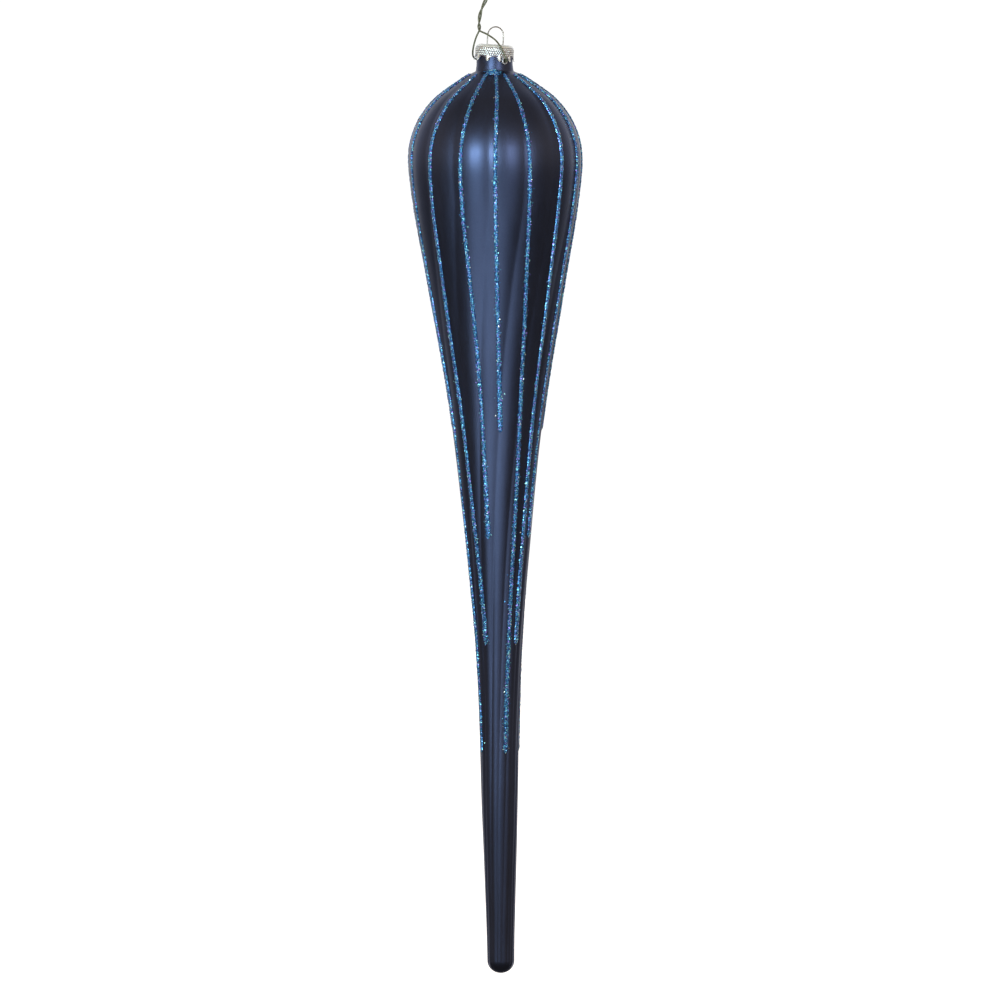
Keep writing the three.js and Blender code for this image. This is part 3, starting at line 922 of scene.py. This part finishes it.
def line_width(s, total):
    thin = 0.84 + 0.16 * smoothstep(s, 4, 38)
    end = 1 + 0.25 * smoothstep(s, total - 45, total - 10)
    close = np.sqrt(np.clip((total - s) / 1.2, 0.05, 1)) * np.sqrt(np.clip((s + 0.5) / 1.2, 0.2, 1))
    return 0.93 * thin * end * close


def line_height(s, total):
    thin = 0.8 + 0.2 * smoothstep(s, 4, 38)
    return 0.55 * thin * np.sqrt(np.clip((total - s) / 1.5, 0.1, 1))


def dab_width(s, total):
    return 3.0 * np.sqrt(np.clip(1 - (s / total - 0.35) ** 2 / 0.6, 0.1, 1))


def dab_height(s, total):
    return 1.0 * np.sqrt(np.clip(1 - (s / total - 0.3) ** 2 / 0.55, 0.1, 1))


def build_glitter():
    for i, (start, upper, lower, bottom) in enumerate(LINE_COURSES):
        end = LINE_ENDS[i % len(LINE_ENDS)]
        stations = [[LINE_START, start], [end * 0.25, upper], [end * 0.62, lower], [end, bottom]]
        depths, azimuths = uniform_spline(stations, 240).T
        glitter_run(
            f"glitter_bead_{i + 1:02d}", f"glitter_line_{i + 1:02d}", azimuths, depths, line_width,
            line_height, LINE_SEED + i, LINE_FLAKES_PER_MM, LINE_FLAKE_SIZES, LINE_COLUMNS,
        )
    azimuths, depths = np.full(40, float(DAB_AZIMUTH)), np.linspace(*DAB_DEPTHS, 40)
    glitter_run(
        "glitter_blob", "glitter_dab", azimuths, depths, dab_width,
        dab_height, DAB_SEED, DAB_FLAKES_PER_MM, DAB_FLAKE_SIZES, DAB_COLUMNS,
    )


build_glitter()


# ---- Camera, in metres ----

CAMERA_DISTANCE = 3.5
CAMERA_ELEVATION = math.radians(3.5)
CAMERA_ROLL = math.radians(0.4)
SENSOR_MM = 36
VIEW_WIDTH = 0.4217
TARGET = Vector((0.0010, 0, -0.2262))

camera_data = bpy.data.cameras.new("camera")
camera_data.sensor_width = SENSOR_MM
camera_data.lens = SENSOR_MM * CAMERA_DISTANCE / VIEW_WIDTH
camera_data.clip_end = 60
camera = bpy.data.objects.new("camera", camera_data)
bpy.context.scene.collection.objects.link(camera)
to_camera = Vector((0, -math.cos(CAMERA_ELEVATION), math.sin(CAMERA_ELEVATION)))
camera.location = TARGET + CAMERA_DISTANCE * to_camera
aim = (TARGET - camera.location).to_track_quat("-Z", "Y").to_matrix().to_4x4()
camera.matrix_world = Matrix.Translation(camera.location) @ aim @ Matrix.Rotation(-CAMERA_ROLL, 4, "Z")
bpy.context.scene.camera = camera


# ---- Stage and light, in metres ----

def area_light(name, azimuth, z, distance, size, power, colour, faces_z, spread):
    """A soft box of a width and height out from the ornament's axis, facing a height on it."""
    data = bpy.data.lights.new(name, "AREA")
    data.shape = "RECTANGLE"
    data.size, data.size_y = size
    data.energy = power
    data.color = colour
    data.spread = math.radians(spread)
    light = bpy.data.objects.new(name, data)
    light.location = around(azimuth, distance, z)
    way = Vector((0, 0, faces_z)) - light.location
    light.rotation_euler = way.to_track_quat("-Z", "Y").to_euler()
    bpy.context.scene.collection.objects.link(light)


TABLE_Z = -0.78
TABLE_FRONT = 0.6
TABLE_BACK = 7.0
TABLE_HALF = 1.3


def build_floor():
    """A white shooting table that runs on far behind the ornament."""
    corners = [
        (-TABLE_HALF, TABLE_FRONT, TABLE_Z), (TABLE_HALF, TABLE_FRONT, TABLE_Z),
        (TABLE_HALF, TABLE_BACK, TABLE_Z), (-TABLE_HALF, TABLE_BACK, TABLE_Z),
    ]
    mesh = bpy.data.meshes.new("floor")
    mesh.from_pydata(corners, [], [(0, 1, 2, 3)])
    floor = bpy.data.objects.new("floor", mesh)
    bpy.context.scene.collection.objects.link(floor)
    finish = Finish("floor_pale", Roughness=0.9, Emission_Strength=1.0)
    finish.surface.inputs["Emission Color"].default_value = (1.0, 1.0, 1.0, 1.0)
    stops = [(0.3, (0.90, 0.90, 0.90)), (0.7, (0.93, 0.93, 0.93))]
    finish.drive("Base Color", finish.ramp(finish.noise(0.003, 2), stops))
    mesh.materials.append(finish.material)


def build_world():
    """White to the eye; for light and reflections, a white backdrop behind and a dim warm room in front."""
    world = bpy.data.worlds.new("studio")
    world.use_nodes = True
    bpy.context.scene.world = world
    tree = world.node_tree
    tree.nodes.clear()

    def add(kind, **values):
        node = tree.nodes.new(kind)
        for name, value in values.items():
            setattr(node, name, value)
        return node

    def ease(source, low, high, to_low, to_high):
        node = add("ShaderNodeMapRange", interpolation_type="SMOOTHSTEP")
        limits = {"From Min": low, "From Max": high, "To Min": to_low, "To Max": to_high}
        for socket, value in limits.items():
            node.inputs[socket].default_value = value
        tree.links.new(source, node.inputs["Value"])
        return node.outputs["Result"]

    def times(first, second):
        node = add("ShaderNodeMath", operation="MULTIPLY")
        tree.links.new(first, node.inputs[0])
        tree.links.new(second, node.inputs[1])
        return node.outputs[0]

    seen = add("ShaderNodeBackground")
    seen.inputs["Color"].default_value = (1, 1, 1, 1)
    seen.inputs["Strength"].default_value = 1.05
    lit = add("ShaderNodeBackground")
    way = add("ShaderNodeSeparateXYZ")
    tree.links.new(add("ShaderNodeTexCoord").outputs["Generated"], way.inputs[0])
    colour = add("ShaderNodeValToRGB")
    warm, white = colour.color_ramp.elements
    warm.position, warm.color = 0.6, (1.0, 0.74, 0.46, 1)
    white.position, white.color = 0.9, (1.0, 1.0, 1.0, 1)
    tree.links.new(ease(way.outputs["Y"], -1, 1, 0, 1), colour.inputs["Fac"])
    tree.links.new(colour.outputs["Color"], lit.inputs["Color"])
    back = ease(way.outputs["Y"], 0.35, 0.95, 0.6, 1.1)
    roof = ease(way.outputs["Z"], 0.35, 0.85, 1.0, 0.5)
    low = ease(way.outputs["Z"], -0.16, -0.02, 0.18, 1.0)
    tree.links.new(times(times(back, roof), low), lit.inputs["Strength"])
    mix = add("ShaderNodeMixShader")
    tree.links.new(add("ShaderNodeLightPath").outputs["Is Camera Ray"], mix.inputs[0])
    tree.links.new(lit.outputs[0], mix.inputs[1])
    tree.links.new(seen.outputs[0], mix.inputs[2])
    tree.links.new(mix.outputs[0], add("ShaderNodeOutputWorld").inputs["Surface"])


build_floor()
build_world()
area_light("key", -22, 0.12, 1.2, (0.5, 0.6), 0.68, (0.76, 1.0, 1.0), faces_z=-0.06, spread=36)
area_light("fill", 26, 0.12, 1.2, (0.4, 0.6), 0.23, (0.86, 0.97, 1.0), faces_z=-0.06, spread=36)
area_light("reflector", -12, -0.29, 0.36, (0.5, 0.11), 0.17, (0.88, 1.0, 0.95), faces_z=-0.08, spread=110)
bpy.context.scene.view_settings.view_transform = "Standard"
